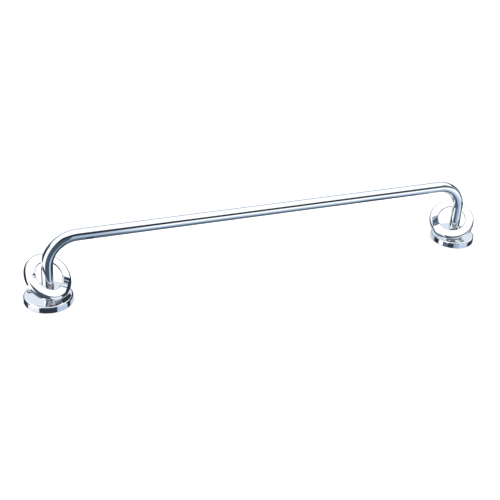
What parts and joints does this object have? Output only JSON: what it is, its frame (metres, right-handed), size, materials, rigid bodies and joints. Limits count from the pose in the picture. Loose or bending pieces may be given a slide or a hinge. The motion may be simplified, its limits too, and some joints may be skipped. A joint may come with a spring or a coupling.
{
  "type": "grab rail",
  "caption": "Straight round-tube grab rail bent into short legs welded to round screw-down flanges, with loose cover rings that slide on the legs to hide the screws.",
  "frame": {"origin": "on the mounting plane, midway between the two legs", "axes": "+X along the rail towards the right foot, +Z out from the mounting plane, -Y the side the cover rings lean down to"},
  "size_m": [0.828, 0.0795, 0.1215],
  "materials": {
    "rail_tube_mirror_steel": "polished",
    "flange_mirror_steel": "polished",
    "cover_mirror_steel": "polished",
    "weld_polished_steel": "satin"
  },
  "bodies": {
    "rail_assembly": {"rail_tube": "rail_tube_mirror_steel", "left_base_flange": "flange_mirror_steel", "right_base_flange": "flange_mirror_steel", "left_weld_bead": "weld_polished_steel", "right_weld_bead": "weld_polished_steel"},
    "left_cover": {"left_cover_ring": "cover_mirror_steel"},
    "right_cover": {"right_cover_ring": "cover_mirror_steel"}
  },
  "joints": [
    {"name": "left_cover_slide", "type": "slide", "parent": "rail_assembly", "child": "left_cover", "axis": [0, 0, 1], "range_m": [0, 0.055]},
    {"name": "right_cover_slide", "type": "slide", "parent": "rail_assembly", "child": "right_cover", "axis": [0, 0, 1], "range_m": [0, 0.055]}
  ]
}
